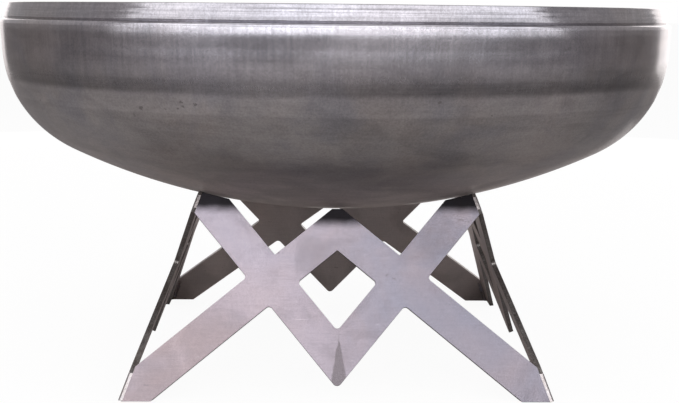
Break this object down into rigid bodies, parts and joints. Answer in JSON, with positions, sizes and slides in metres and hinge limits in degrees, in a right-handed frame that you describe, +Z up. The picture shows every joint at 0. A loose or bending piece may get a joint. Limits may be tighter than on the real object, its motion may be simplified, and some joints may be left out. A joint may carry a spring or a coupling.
{
  "type": "fire pit with grate",
  "caption": "Round steel fire pit: an open pressed dish resting on a square base of four leaning lattice plates, with a lift-out round log grate on legs inside the dish.",
  "frame": {"origin": "on the ground under the middle of the dish, at the bottom centre of the bounding box", "axes": "+Z up along the dish's axis; the front lattice plate faces -Y and the right one faces +X"},
  "size_m": [0.9143, 0.9144, 0.4895],
  "materials": {
    "dish_steel": "bare pressed steel, dark and mottled, with a bright machined rim",
    "plate_steel": "bare hot-rolled plate, lightly brushed",
    "weld_metal": "ground outside, as welded inside",
    "grate_steel": "dark mill scale"
  },
  "bodies": {
    "base": {"base_plate_back": "plate_steel", "base_plate_front": "plate_steel", "base_plate_left": "plate_steel", "base_plate_right": "plate_steel", "foot_weld_back_left": "weld_metal", "foot_weld_back_right": "weld_metal", "foot_weld_front_left": "weld_metal", "foot_weld_front_right": "weld_metal", "top_weld_back_left": "weld_metal", "top_weld_back_right": "weld_metal", "top_weld_front_left": "weld_metal", "top_weld_front_right": "weld_metal"},
    "bowl": {"bowl_shell": "dish_steel"},
    "grate": {"grate_bar_01": "grate_steel", "grate_bar_02": "grate_steel", "grate_bar_03": "grate_steel", "grate_bar_04": "grate_steel", "grate_bar_05": "grate_steel", "grate_bar_06": "grate_steel", "grate_bar_07": "grate_steel", "grate_bar_08": "grate_steel", "grate_bar_09": "grate_steel", "grate_bar_10": "grate_steel", "grate_bar_11": "grate_steel", "grate_bearer_back": "grate_steel", "grate_bearer_front": "grate_steel", "grate_leg_back_left": "grate_steel", "grate_leg_back_right": "grate_steel", "grate_leg_front_left": "grate_steel", "grate_leg_front_right": "grate_steel", "grate_ring": "grate_steel"}
  },
  "joints": [
    {"name": "bowl_lift", "type": "slide", "parent": "base", "child": "bowl", "axis": [0, 0, 1], "range_m": [0, 0.35]},
    {"name": "grate_lift", "type": "slide", "parent": "bowl", "child": "grate", "axis": [0, 0, 1], "range_m": [0, 0.4]}
  ]
}
